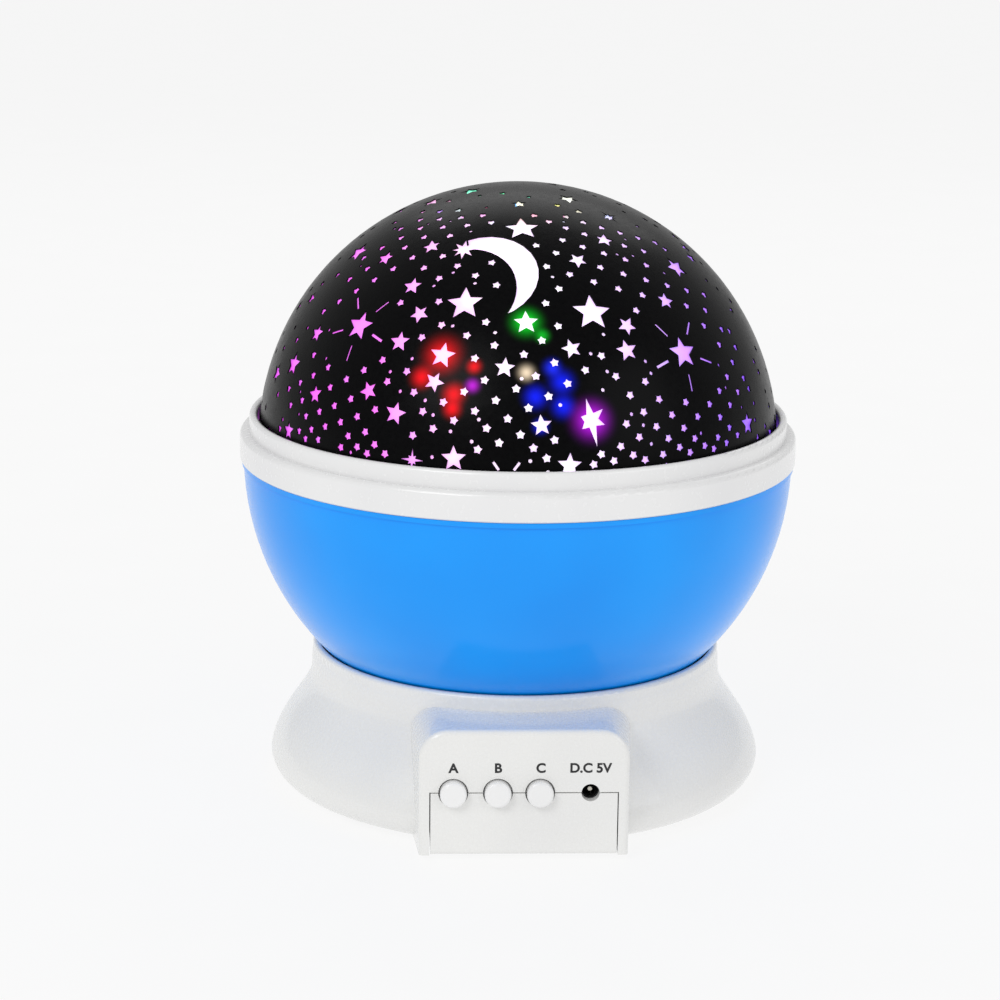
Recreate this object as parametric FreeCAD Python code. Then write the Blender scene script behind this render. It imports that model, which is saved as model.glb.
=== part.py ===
import FreeCAD, Part
import math
import os
import random

os.makedirs("parts", exist_ok=True)
Vec = FreeCAD.Vector
UP = Vec(0, 0, 1)

# Star night light projector. Millimetres, +Z up, control box toward -Y.
# The origin is on the turning axis, level with the undersides of the feet.

# General fits
SLACK = 0.35
RUN_FIT = 0.05
SCREW_FIT = 0.02

# Base
FOOT_H = 1.6
FOOT_R = 6.0
FOOT_XY = 31.0
BASE_WALL = 2.3
BASE_PROFILE = ((58.3, 6.6), (58.1, 8.0), (57.5, 10.0), (56.1, 13.0), (54.3, 16.0), (52.2, 19.0),
                (50.3, 22.0), (48.9, 25.0), (48.5, 28.0), (48.3, 31.0), (48.2, 33.0))
BASE_TURN_UNDER = 5.0
NECK_TOP_Z = 33.9
NECK_BORE_R = 46.95
COVER_R = 51.9
COVER_RECESS_R = 52.2
COVER_T = 2.0
DECK_Z0 = 23.0
DECK_Z1 = 25.0
BOSS_R = 3.5

# Control box
BOX_Y = -61.3
BOX_X = -0.5
BOX_HALF = 23.1
BOX_DRAFT = 0.092
BOX_TOP_Z = 30.5
BOX_CORNER_R = 6.5
BOX_EDGE_R = 1.2
PANEL_T = 2.0
TAB_HALF = 20.6
TAB_OPENING_HALF = 20.85
SPLIT_Z = 16.2
SPLIT_GAP = 0.12
BUTTON_X = (-16.1, -6.3, 3.0)
BUTTON_R = 2.95
BUTTON_HOLE_R = 3.3
BUTTON_PROUD = 2.0
BUTTON_TRAVEL = 0.8
BUTTON_FLANGE_R = 4.0
BUTTON_STEM_R = 1.3
JACK_X = 14.1
JACK_HOLE_R = 2.0
JACK_BORE_R = 1.8
JACK_BORE_END_Y = -53.1
JACK_PIN_R = 0.65
JACK_PIN_ROOT_R = 1.0
BOARD_Y0 = -52.0
BOARD_Y1 = -50.4
BOARD_HALF = 19.4

# Battery bay for four AAA cells lying along X
CELL_R = 5.25
CELL_BODY_L = 43.5
CELL_NUB_L = 1.0
CELL_NUB_R = 1.9
CELL_PITCH = 11.0
CELL_Z = 9.35
PLATE_X = 24.4
PLATE_T = 0.4
SPRING_L = 3.3
SPRING_R = 3.0
SPRING_WIRE_R = 0.28
SPRING_TURNS = 3
SPRING_SET = 0.6
BAY_X = 26.2
BAY_Y = 22.6
BAY_WALL = 1.2
BAY_CEILING_Z = 14.9
DOOR_Y = 22.05
DOOR_X0 = -26.0
HINGE_X = 24.4
HINGE_Z = 3.0
HINGE_R = 1.4
TRUNNION_R = 0.8

# Gear train
MOTOR_X = -11.0
MOTOR_Y = 37.0
MOTOR_R = 12.2
MOTOR_Z0 = 5.0
GEAR_PLATE_Z0 = 16.1
GEAR_PLATE_Z1 = 17.3
FINE_MODULE = 0.5
RING_MODULE = 0.7
SMALL_TEETH = 9
WHEEL_TEETH = 45
FINAL_TEETH = 12
RING_TEETH = 108
LEVEL_A = (17.7, 19.3)
LEVEL_B = (19.7, 21.5)
PRESSURE = math.radians(20.0)
TIP = 0.85
ROOT = 1.25
TOOTH_THIN = 0.2

# Turntable and post
RING_Z0 = 25.6
TABLE_Z0 = 28.2
TABLE_Z1 = 29.4
TABLE_R = 41.5
BUSH_R = 8.6
HUB_R = 10.0
HUB_Z0 = 27.4
HUB_Z1 = 38.4
POST_R = 7.0
POST_BORE_R = 5.0
LAMP_Z = 86.0
LAMP_BOARD_R = 20.0

# Bowl, collar and dome
BOWL_R = 64.2
BOWL_CENTRE_Z = 78.2
BOWL_WALL = 2.2
BOWL_FLOOR_T = 2.0
BOWL_SPIGOT_R = 61.8
BOWL_SPIGOT_TOP = 82.0
BOWL_BEAD_R = 64.6
BOWL_BEAD_H = 1.1
COLLAR_Z0 = 78.3
COLLAR_R = 65.0
COLLAR_STEP_Z = 84.8
COLLAR_SEAT_R = 62.8
COLLAR_BORE_R = 61.9
COLLAR_TOP_Z = 88.9
COLLAR_LIP_R = 60.95
DOME_CENTRE_Z = 81.3
MASK_R = 60.7
MASK_T = 0.3
MASK_Z0 = 84.2
DOME_R = 60.3
DOME_WALL = 1.5
DOME_FLANGE_R = 61.6
DOME_FLANGE_Z0 = 82.1
DOME_FLANGE_Z1 = 83.6


# Shape helpers
def save(name, shape):
    shape.exportStep("parts/" + name + ".step")


def disc(r, z0, z1, x=0.0, y=0.0):
    return Part.makeCylinder(r, z1 - z0, Vec(x, y, z0))


def ring(r_out, r_in, z0, z1, x=0.0, y=0.0):
    return disc(r_out, z0, z1, x, y).cut(disc(r_in, z0 - 1.0, z1 + 1.0, x, y))


def rod_y(r, y0, y1, x, z):
    return Part.makeCylinder(r, y1 - y0, Vec(x, y0, z), Vec(0, 1, 0))


def rod_x(r, x0, x1, y, z):
    return Part.makeCylinder(r, x1 - x0, Vec(x0, y, z), Vec(1, 0, 0))


def block(x0, x1, y0, y1, z0, z1):
    return Part.makeBox(x1 - x0, y1 - y0, z1 - z0, Vec(x0, y0, z0))


def line(p, q):
    return Part.makeLine(Vec(*p), Vec(*q))


def arc(p, q, s):
    return Part.Arc(Vec(*p), Vec(*q), Vec(*s)).toShape()


def polygon(points):
    return Part.Face(Part.makePolygon([Vec(*p) for p in points] + [Vec(*points[0])]))


def turned(edges):
    face = Part.Face(Part.Wire(edges))
    return face.revolve(Vec(0, 0, 0), UP, 360.0)


def turned_points(points):
    return polygon([(r, 0.0, z) for r, z in points]).revolve(Vec(0, 0, 0), UP, 360.0)


def spline_rz(points, end_tangent):
    curve = Part.BSplineCurve()
    curve.interpolate(Points=[Vec(r, 0, z) for r, z in points], InitialTangent=Vec(0, 0, 1),
                      FinalTangent=Vec(*end_tangent))
    return curve.toShape()


def fuse(shapes):
    whole = shapes[0].fuse(shapes[1:]) if len(shapes) > 1 else shapes[0]
    return whole.removeSplitter()


def cut_all(shape, tools):
    for tool in tools:
        shape = shape.cut(tool)
    return shape


def screw(x, y, z_head, z_tip, shank_r, head_r, head_h):
    """A pan-head screw along Z; the head is at z_head and the tip may be above or below it."""
    up = z_tip > z_head
    head = disc(head_r, z_head - head_h, z_head, x, y) if up else disc(head_r, z_head, z_head + head_h, x, y)
    rim = [e for e in head.Edges if abs(e.CenterOfMass.z - (z_head - head_h if up else z_head + head_h)) < 0.01]
    head = head.makeFillet(head_h * 0.35, [e for e in rim if e.Length > 1.0])
    slot = head_r * 0.62
    arm = head_r * 0.16
    z_slot = z_head - head_h if up else z_head + head_h * 0.5
    cross = [block(x - slot, x + slot, y - arm, y + arm, z_slot, z_slot + head_h * 0.5),
             block(x - arm, x + arm, y - slot, y + slot, z_slot, z_slot + head_h * 0.5)]
    shank = disc(shank_r, min(z_head, z_tip), max(z_head, z_tip), x, y)
    return cut_all(head, cross).fuse(shank)


def lead(points, wire_r, bend):
    """A round wire along straight runs joined by tangent arcs."""
    path = [Vec(*p) for p in points]
    edges = []
    start = path[0]
    for before, corner, after in zip(path, path[1:], path[2:]):
        into = (corner - before).normalize()
        out = (after - corner).normalize()
        half_turn = into.getAngle(out) / 2.0
        back = bend * math.tan(half_turn)
        first = corner - into * back
        last = corner + out * back
        centre_way = (out - into).normalize()
        middle = corner + centre_way * (bend / math.cos(half_turn) - bend)
        edges.append(Part.makeLine(start, first))
        edges.append(Part.Arc(first, middle, last).toShape())
        start = last
    edges.append(Part.makeLine(start, path[-1]))
    spine = Part.Wire(edges)
    section = Part.Wire(Part.makeCircle(wire_r, path[0], path[1] - path[0]))
    return spine.makePipeShell([section], True, False)


def spring_coil(radius, rise, turns, wire_r):
    """One unbroken wire along Z, on quarter-turn arcs."""
    def at(eighths):
        angle = math.pi * eighths / 4.0
        return Vec(radius * math.cos(angle), radius * math.sin(angle), rise * eighths / 8.0)
    edges = [Part.Arc(at(2 * n), at(2 * n + 1), at(2 * n + 2)).toShape() for n in range(4 * turns)]
    tangent = edges[0].tangentAt(edges[0].FirstParameter)
    section = Part.Wire(Part.makeCircle(wire_r, at(0), tangent))
    return Part.Wire(edges).makePipeShell([section], True, False)


def involute(angle):
    return math.tan(angle) - angle


def gear_prism(teeth, module, thin, tip, root, z0, z1, x=0.0, y=0.0, turn=0.0):
    """Involute teeth as a solid prism; one tooth points along the turn angle in degrees."""
    pitch_r = teeth * module / 2.0
    base_r = pitch_r * math.cos(PRESSURE)
    tip_r = pitch_r + tip * module
    root_r = pitch_r - root * module
    half = (math.pi * module / 2.0 - thin) / (2.0 * pitch_r)
    low_r = max(base_r, root_r)
    flank = []
    for step in range(4):
        r = low_r + (tip_r - low_r) * step / 3.0
        flank.append((half + involute(PRESSURE) - involute(math.acos(min(1.0, base_r / r))), r))
    if root_r < base_r:
        flank.insert(0, (flank[0][0] * 0.85, root_r))
    points = []
    for tooth in range(teeth):
        centre = math.radians(turn) + 2.0 * math.pi * tooth / teeth
        for angle, r in flank:
            points.append((x + r * math.cos(centre - angle), y + r * math.sin(centre - angle), z0))
        for angle, r in reversed(flank):
            points.append((x + r * math.cos(centre + angle), y + r * math.sin(centre + angle), z0))
    return polygon(points).extrude(Vec(0, 0, z1 - z0))


# Base shell: one moulding with the flared skirt, neck, deck, bay walls and box top
def base_outside():
    widest_r, widest_z = BASE_PROFILE[0]
    neck_r, neck_z = BASE_PROFILE[-1]
    flat_r = widest_r - BASE_TURN_UNDER
    lean = BASE_TURN_UNDER * (1.0 - math.cos(math.pi / 4.0))
    lip = NECK_TOP_Z - neck_z
    edges = [line((0, 0, FOOT_H), (flat_r, 0, FOOT_H)),
             arc((flat_r, 0, FOOT_H), (widest_r - lean, 0, FOOT_H + lean), (widest_r, 0, widest_z)),
             spline_rz(BASE_PROFILE, (0, 0, 1)),
             arc((neck_r, 0, neck_z), (neck_r - lip * 0.293, 0, neck_z + lip * 0.707), (neck_r - lip, 0, NECK_TOP_Z)),
             line((neck_r - lip, 0, NECK_TOP_Z), (0, 0, NECK_TOP_Z)),
             line((0, 0, NECK_TOP_Z), (0, 0, FOOT_H))]
    return turned(edges)


def base_inside():
    inner = [(r - BASE_WALL, z) for r, z in BASE_PROFILE if z < DECK_Z0]
    inner.append((47.2, DECK_Z0))
    first_r, first_z = inner[0]
    top_r, top_z = inner[-1]
    edges = [line((0, 0, FOOT_H - 1), (COVER_RECESS_R, 0, FOOT_H - 1)),
             line((COVER_RECESS_R, 0, FOOT_H - 1), (COVER_RECESS_R, 0, 3.9)),
             line((COVER_RECESS_R, 0, 3.9), (first_r, 0, first_z)),
             spline_rz(inner, (-0.5, 0, 1)),
             line((top_r, 0, top_z), (0, 0, top_z)),
             line((0, 0, top_z), (0, 0, FOOT_H - 1))]
    return turned(edges)


def box_section(y, half):
    z0 = FOOT_H
    z1 = BOX_TOP_Z
    r = BOX_CORNER_R
    s = r * (1.0 - math.cos(math.pi / 4.0))
    left = BOX_X - half
    right = BOX_X + half
    return Part.Wire([line((left, y, z0), (right, y, z0)),
                      line((right, y, z0), (right, y, z1 - r)),
                      arc((right, y, z1 - r), (right - s, y, z1 - s), (right - r, y, z1)),
                      line((right - r, y, z1), (left + r, y, z1)),
                      arc((left + r, y, z1), (left + s, y, z1 - s), (left, y, z1 - r)),
                      line((left, y, z1 - r), (left, y, z0))])


BOX_BACK_Y = -40.0
box_back_half = BOX_HALF + (BOX_BACK_Y - BOX_Y) * BOX_DRAFT
box = Part.makeLoft([box_section(BOX_Y, BOX_HALF), box_section(BOX_BACK_Y, box_back_half)], True, True)
front_edges = [e for e in box.Edges
               if all(abs(v.Point.y - BOX_Y) < 0.01 for v in e.Vertexes) and e.CenterOfMass.z > FOOT_H + 0.1]
box = box.makeFillet(BOX_EDGE_R, front_edges)
outside = base_outside().fuse(box)

panel_back = BOX_Y + PANEL_T
hollow_low = block(BOX_X - TAB_OPENING_HALF, BOX_X + TAB_OPENING_HALF, panel_back, -40.0, FOOT_H - 1, DECK_Z0)
hollow_high = block(BOX_X - TAB_OPENING_HALF, BOX_X + TAB_OPENING_HALF, panel_back, -40.0, DECK_Z0 - 0.1,
                    BOX_TOP_Z - PANEL_T)
hollow_high = hollow_high.cut(disc(49.9, 20, 40))
shell = cut_all(outside, [base_inside(), disc(NECK_BORE_R, DECK_Z1, NECK_TOP_Z + 1), hollow_low, hollow_high])

tab_opening = block(BOX_X - TAB_OPENING_HALF, BOX_X + TAB_OPENING_HALF, BOX_Y - 1, panel_back + 0.1, FOOT_H - 1,
                    SPLIT_Z + SPLIT_GAP)
panel_holes = [rod_y(BUTTON_HOLE_R, BOX_Y - 1, panel_back + 0.2, x, SPLIT_Z) for x in BUTTON_X]
panel_holes.append(rod_y(JACK_HOLE_R, BOX_Y - 1, panel_back + 0.2, JACK_X, SPLIT_Z))
notch = polygon([(JACK_X - 2.6, BOX_Y - 1, SPLIT_Z), (JACK_X, BOX_Y - 1, SPLIT_Z + 0.7),
                 (JACK_X + 2.6, BOX_Y - 1, SPLIT_Z), (JACK_X, BOX_Y - 1, SPLIT_Z - 0.7)])
panel_holes.append(notch.extrude(Vec(0, PANEL_T + 1.2, 0)))
shell = cut_all(shell, [tab_opening] + panel_holes)

bay_out_x = BAY_X + BAY_WALL
bay_out_y = BAY_Y + BAY_WALL
bay_z0 = FOOT_H + COVER_T + 0.2
bay = block(-bay_out_x, bay_out_x, -bay_out_y, bay_out_y, bay_z0, BAY_CEILING_Z + 1.0)
bay = bay.cut(block(-BAY_X, BAY_X, -BAY_Y, BAY_Y, bay_z0 - 1, BAY_CEILING_Z))
bay_ribs = []
for x in (-19.0, 19.0):
    for y in (-12.0, 12.0):
        bay_ribs.append(block(x - 0.8, x + 0.8, y - 0.8, y + 0.8, BAY_CEILING_Z + 0.5, DECK_Z0 + 0.5))
FEET = [(sx * FOOT_XY, sy * FOOT_XY) for sx, sy in ((-1, -1), (1, -1), (1, 1), (-1, 1))]
cover_top = FOOT_H + COVER_T
bosses = [disc(BOSS_R, cover_top, DECK_Z0 + 0.5, x, y) for x, y in FEET]
GEAR_POSTS = ((16.0, 30.0), (-25.5, 29.5), (11.5, 44.6))
gear_posts = [disc(2.8, GEAR_PLATE_Z1, DECK_Z0 + 0.5, x, y) for x, y in GEAR_POSTS]
BOARD_SCREWS = (-11.0, 10.0)
BOARD_SCREW_Z = 24.5
board_bosses = [rod_y(2.4, panel_back - 0.2, BOARD_Y0, x, BOARD_SCREW_Z) for x in BOARD_SCREWS]
shell = fuse([shell, bay] + bay_ribs + bosses + gear_posts + board_bosses)

# Gear centres: the middle gear stands one centre distance from both neighbours
pinion_pitch_r = SMALL_TEETH * FINE_MODULE / 2.0
wheel_pitch_r = WHEEL_TEETH * FINE_MODULE / 2.0
centre_distance = pinion_pitch_r + wheel_pitch_r
ring_pitch_r = RING_TEETH * RING_MODULE / 2.0
final_pitch_r = FINAL_TEETH * RING_MODULE / 2.0
FINAL_X = 0.0
FINAL_Y = ring_pitch_r - final_pitch_r
apart_x = MOTOR_X - FINAL_X
apart_y = MOTOR_Y - FINAL_Y
apart = math.hypot(apart_x, apart_y)
rise = math.sqrt(centre_distance ** 2 - (apart / 2.0) ** 2)
MIDDLE_X = (FINAL_X + MOTOR_X) / 2.0 - rise * apart_y / apart
MIDDLE_Y = (FINAL_Y + MOTOR_Y) / 2.0 + rise * apart_x / apart

POST_SCREWS = [(11.0 * math.cos(math.radians(a)), 11.0 * math.sin(math.radians(a))) for a in (-90, 30, 150)]
middle_boss = disc(2.2, 21.8, DECK_Z0 + 0.1, MIDDLE_X, MIDDLE_Y)
shell = shell.fuse(middle_boss).removeSplitter()
pilots = [disc(1.3 + SCREW_FIT, cover_top - 0.1, 12.0, x, y) for x, y in FEET]
pilots += [disc(0.9 + SCREW_FIT, GEAR_PLATE_Z1 - 0.1, 21.5, x, y) for x, y in GEAR_POSTS]
pilots += [rod_y(0.9 + SCREW_FIT, -57.5, BOARD_Y0 + 0.1, x, BOARD_SCREW_Z) for x in BOARD_SCREWS]
pilots += [disc(1.15, DECK_Z0 - 0.1, DECK_Z1 + 0.1, x, y) for x, y in POST_SCREWS]
pilots.append(disc(POST_BORE_R, DECK_Z0 - 0.1, DECK_Z1 + 0.1))
pilots.append(disc(5.6, DECK_Z0 - 0.1, DECK_Z1 + 0.1, FINAL_X, FINAL_Y))
pilots.append(disc(0.75 + SCREW_FIT, 21.0, 24.2, MIDDLE_X, MIDDLE_Y))
LEAD_X = 25.5
LEAD_Z = (7.5, 12.0)
pilots += [rod_y(0.85, -24.5, -21.5, LEAD_X, z) for z in LEAD_Z]
lug_x0 = HINGE_X - HINGE_R
lug_x1 = HINGE_X + HINGE_R
LUG_Y = (22.4, 24.9)
for side in (-1, 1):
    y0 = min(side * (LUG_Y[0] - 0.3), side * (LUG_Y[1] + 0.3))
    y1 = max(side * (LUG_Y[0] - 0.3), side * (LUG_Y[1] + 0.3))
    pilots.append(block(lug_x0 - 0.3, lug_x1 + 0.3, y0, y1, bay_z0 - 0.5, HINGE_Z + HINGE_R + 0.3))
shell = cut_all(shell, pilots)
save("base_shell", shell)

# Bottom cover with the upright front tab, door opening and hinge lugs
cover = fuse([disc(COVER_R, FOOT_H, cover_top),
              block(BOX_X - TAB_HALF, BOX_X + TAB_HALF, BOX_Y, -40.0, FOOT_H, cover_top),
              block(BOX_X - TAB_HALF, BOX_X + TAB_HALF, BOX_Y, panel_back, FOOT_H, SPLIT_Z - SPLIT_GAP)])
toe = [e for e in cover.Edges
       if abs(e.CenterOfMass.y - BOX_Y) < 0.01 and abs(e.CenterOfMass.z - FOOT_H) < 0.01]
cover = cover.makeFillet(BOX_EDGE_R, toe)
lugs = []
for side in (-1, 1):
    y0 = min(side * LUG_Y[0], side * LUG_Y[1])
    lugs.append(block(lug_x0, lug_x1, y0, y0 + LUG_Y[1] - LUG_Y[0], FOOT_H, HINGE_Z + HINGE_R))
door_opening = block(DOOR_X0 - SLACK, HINGE_X + HINGE_R + SLACK, -LUG_Y[0], LUG_Y[0], FOOT_H - 1, cover_top + 1)
cover = cover.cut(door_opening)
cover = fuse([cover] + lugs)
finger = disc(7.0, FOOT_H - 1, FOOT_H + 1.1, DOOR_X0 - 4.5, 0.0)
cover_cuts = [rod_y(TRUNNION_R + RUN_FIT, -24.4, 24.4, HINGE_X, HINGE_Z), finger]
for x, y in FEET:
    cover_cuts.append(disc(2.6, FOOT_H - 0.1, FOOT_H + 1.3, x, y))
    cover_cuts.append(disc(1.6, FOOT_H, cover_top + 0.1, x, y))
cover = cut_all(cover, cover_cuts + panel_holes)
save("base_cover", cover)

BASE_SCREW_HEAD = FOOT_H + 1.3
base_screws = [screw(x, y, BASE_SCREW_HEAD, 11.5, 1.3, 2.4, 1.2) for x, y in FEET]
save("base_screws", Part.makeCompound(base_screws))
for number, (x, y) in enumerate(FEET, 1):
    foot = disc(FOOT_R, 0.0, FOOT_H, x, y)
    low = [e for e in foot.Edges if abs(e.CenterOfMass.z) < 0.01 and e.Length > 30]
    save("foot_%d" % number, foot.makeFillet(0.6, low))

# Battery door: thin plate with a hinge barrel, trunnions, a latch nub and grip ribs
door = block(DOOR_X0, HINGE_X, -DOOR_Y, DOOR_Y, FOOT_H, cover_top)
barrel = rod_y(HINGE_R, -DOOR_Y, DOOR_Y, HINGE_X, HINGE_Z)
trunnions = rod_y(TRUNNION_R, -24.0, 24.0, HINGE_X, HINGE_Z)
nub = rod_y(0.5, -2.5, 2.5, DOOR_X0 + 0.35, FOOT_H + 1.5)
door = fuse([door, barrel, trunnions, nub])
grip = [block(x, x + 0.8, -8.0, 8.0, FOOT_H - 0.1, FOOT_H + 0.4) for x in (-23.5, -21.9, -20.3, -18.7)]
door = cut_all(door, grip)
save("battery_door", door)

# Cells, contact plates and springs: neighbours face opposite ways
cell_ys = [CELL_PITCH * (n - 1.5) for n in range(4)]
plates = []
springs = []
for number, y in enumerate(cell_ys, 1):
    way = 1 if number % 2 == 1 else -1
    tip = way * (PLATE_X - 1.0)
    back = tip - way * (CELL_BODY_L + CELL_NUB_L)
    shoulder = tip - way * CELL_NUB_L
    cell = rod_x(CELL_R, min(back, shoulder), max(back, shoulder), y, CELL_Z)
    cell = cell.makeFillet(0.5, [e for e in cell.Edges if e.Length > 20 and e.Closed and e.CenterOfMass.x != 0])
    nub = rod_x(CELL_NUB_R, min(tip, shoulder), max(tip, shoulder), y, CELL_Z)
    save("battery_%d" % number, cell.fuse(nub))
    plates.append(rod_x(1.6, min(tip, way * PLATE_X), max(tip, way * PLATE_X), y, CELL_Z))
    coil = spring_coil(SPRING_R, (SPRING_L - SPRING_SET) / SPRING_TURNS, SPRING_TURNS, SPRING_WIRE_R)
    coil.rotate(Vec(0, 0, 0), Vec(0, 1, 0), -90.0 if way > 0 else 90.0)
    coil.translate(Vec(back - way * SPRING_SET / 2.0, y, CELL_Z))
    springs.append(coil)
    stud = rod_x(1.0, min(back - way * SPRING_L, back - way * 2.6), max(back - way * SPRING_L, back - way * 2.6),
                 y, CELL_Z)
    plates.append(stud)
for side, groups in ((1, ((0,), (1, 2), (3,))), (-1, ((0, 1), (2, 3)))):
    for group in groups:
        y0 = cell_ys[group[0]] - 3.9
        y1 = cell_ys[group[-1]] + 3.9
        x0 = min(side * PLATE_X, side * (PLATE_X + PLATE_T))
        plates.append(block(x0, x0 + PLATE_T, y0, y1, 5.2, 14.0))
save("battery_plates", fuse(plates))
save("battery_springs", Part.makeCompound(springs))

# Control board, switches, power inlet and the three push buttons
board = block(BOX_X - BOARD_HALF, BOX_X + BOARD_HALF, BOARD_Y0, BOARD_Y1, 4.2, 27.6)
board = cut_all(board, [rod_y(1.15, BOARD_Y0 - 1, BOARD_Y1 + 1, x, BOARD_SCREW_Z) for x in BOARD_SCREWS])
board = cut_all(board, [rod_y(1.2, BOARD_Y0 - 1, BOARD_Y1 + 1, BOX_X + side * 16.8, 5.8) for side in (-1, 1)])
save("control_board", board)
chip = block(-6.0, -1.0, BOARD_Y1, BOARD_Y1 + 1.5, 9.0, 13.0)
capacitor = rod_y(2.5, BOARD_Y1, BOARD_Y1 + 6.0, 6.5, 9.5)
resistors = [block(x, x + 1.6, BOARD_Y1, BOARD_Y1 + 0.6, 14.5, 15.4) for x in (-12.0, -9.0, -6.0, -3.0)]
save("board_parts", Part.makeCompound([chip, capacitor] + resistors))
board_screws = []
for x in BOARD_SCREWS:
    head = rod_y(1.7, BOARD_Y1, BOARD_Y1 + 1.0, x, BOARD_SCREW_Z)
    board_screws.append(head.fuse(rod_y(0.9, -57.0, BOARD_Y1, x, BOARD_SCREW_Z)))
save("board_screws", Part.makeCompound(board_screws))
for letter, x in zip("abc", BUTTON_X):
    switch = block(x - 3.0, x + 3.0, -55.5, BOARD_Y0, SPLIT_Z - 3.0, SPLIT_Z + 3.0)
    save("tact_switch_" + letter, switch.cut(rod_y(1.75, -56.0, -53.9, x, SPLIT_Z)))
    cap = rod_y(BUTTON_R, BOX_Y - BUTTON_PROUD, panel_back + 0.3, x, SPLIT_Z)
    rim = [e for e in cap.Edges if abs(e.CenterOfMass.y - (BOX_Y - BUTTON_PROUD)) < 0.01 and e.Length > 10]
    cap = cap.makeFillet(0.7, rim)
    flange = rod_y(BUTTON_FLANGE_R, panel_back + 0.3, panel_back + 1.3, x, SPLIT_Z)
    stem = rod_y(BUTTON_STEM_R, panel_back + 1.3, -55.0, x, SPLIT_Z)
    save("button_" + letter, fuse([cap, flange, stem]))
jack = block(JACK_X - 3.2, JACK_X + 3.2, panel_back + 0.2, BOARD_Y0, SPLIT_Z - 2.6, SPLIT_Z + 2.6)
jack = jack.cut(rod_y(JACK_BORE_R, panel_back, JACK_BORE_END_Y, JACK_X, SPLIT_Z))
save("dc_jack", jack.cut(rod_y(JACK_PIN_ROOT_R, -54.0, BOARD_Y0, JACK_X, SPLIT_Z)))
pin = rod_y(JACK_PIN_R, -58.8, -53.0, JACK_X, SPLIT_Z)
pin = pin.fuse(rod_y(JACK_PIN_ROOT_R, JACK_BORE_END_Y, BOARD_Y0, JACK_X, SPLIT_Z)).removeSplitter()
pin_tip = [e for e in pin.Edges if abs(e.CenterOfMass.y + 58.8) < 0.01 and e.Length > 2]
save("dc_jack_pin", pin.makeFillet(0.3, pin_tip))

# Motor, gear plate and axles
motor_top = GEAR_PLATE_Z0
can = disc(MOTOR_R, MOTOR_Z0, motor_top, MOTOR_X, MOTOR_Y)
can = can.makeFillet(1.0, [e for e in can.Edges if e.Closed and abs(e.CenterOfMass.z - motor_top) < 0.01])
can = can.fuse(disc(3.0, motor_top - 0.1, motor_top + 1.0, MOTOR_X, MOTOR_Y))
cap = disc(10.5, 3.9, MOTOR_Z0, MOTOR_X, MOTOR_Y)
tails = [block(MOTOR_X + 9.0, MOTOR_X + 13.0, y - 0.9, y + 0.9, 4.0, 4.5) for y in (36.0, 38.6)]
save("motor_cap", fuse([cap] + tails))
MOTOR_SCREWS = ((MOTOR_X - 6.0, MOTOR_Y), (MOTOR_X + 6.0, MOTOR_Y))
can_holes = [disc(0.9 + SCREW_FIT, 14.0, 16.5, x, y) for x, y in MOTOR_SCREWS]
can_holes.append(disc(1.0 + RUN_FIT, 6.3, 18.0, MOTOR_X, MOTOR_Y))
save("motor_case", cut_all(can, can_holes))
motor_screws = [screw(x, y, GEAR_PLATE_Z1, 14.3, 0.9, 1.7, 0.35) for x, y in MOTOR_SCREWS]

plate = block(-29.0, 19.6, 20.0, 48.4, GEAR_PLATE_Z0, GEAR_PLATE_Z1).common(disc(49.0, 10, 20))
axle_bosses = [disc(1.45, GEAR_PLATE_Z1 - 0.1, 19.4, FINAL_X, FINAL_Y),
               disc(2.2, GEAR_PLATE_Z1 - 0.1, LEVEL_A[0] - 0.1, MIDDLE_X, MIDDLE_Y)]
plate = fuse([plate] + axle_bosses)
plate_cuts = [disc(3.1, 15, 18, MOTOR_X, MOTOR_Y),
              disc(1.0 + SCREW_FIT, 15, 20, FINAL_X, FINAL_Y),
              disc(0.75 + SCREW_FIT, 15, 19, MIDDLE_X, MIDDLE_Y),
              disc(BOSS_R + 0.4, 15, 18, -FOOT_XY, FOOT_XY)]
plate_cuts += [disc(1.15, 15, 18, x, y) for x, y in GEAR_POSTS]
plate_cuts += [disc(1.15, 15, 18, x, y) for x, y in MOTOR_SCREWS]
save("gear_plate", cut_all(plate, plate_cuts))
save("motor_screws", Part.makeCompound(motor_screws))
plate_screws = [screw(x, y, GEAR_PLATE_Z0, 21.2, 0.9, 1.9, 1.2) for x, y in GEAR_POSTS]
save("gear_plate_screws", Part.makeCompound(plate_screws))
save("gear_axle_1", disc(1.0, GEAR_PLATE_Z0, 27.9, FINAL_X, FINAL_Y))
save("gear_axle_2", disc(0.75, GEAR_PLATE_Z0, 24.0, MIDDLE_X, MIDDLE_Y))

to_final = math.degrees(math.atan2(FINAL_Y - MIDDLE_Y, FINAL_X - MIDDLE_X))
to_middle = math.degrees(math.atan2(MIDDLE_Y - MOTOR_Y, MIDDLE_X - MOTOR_X))
half_pitch = 180.0 / WHEEL_TEETH


def fine_gear(teeth, level, x, y, turn):
    return gear_prism(teeth, FINE_MODULE, TOOTH_THIN, TIP, ROOT, level[0], level[1], x, y, turn)


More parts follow.
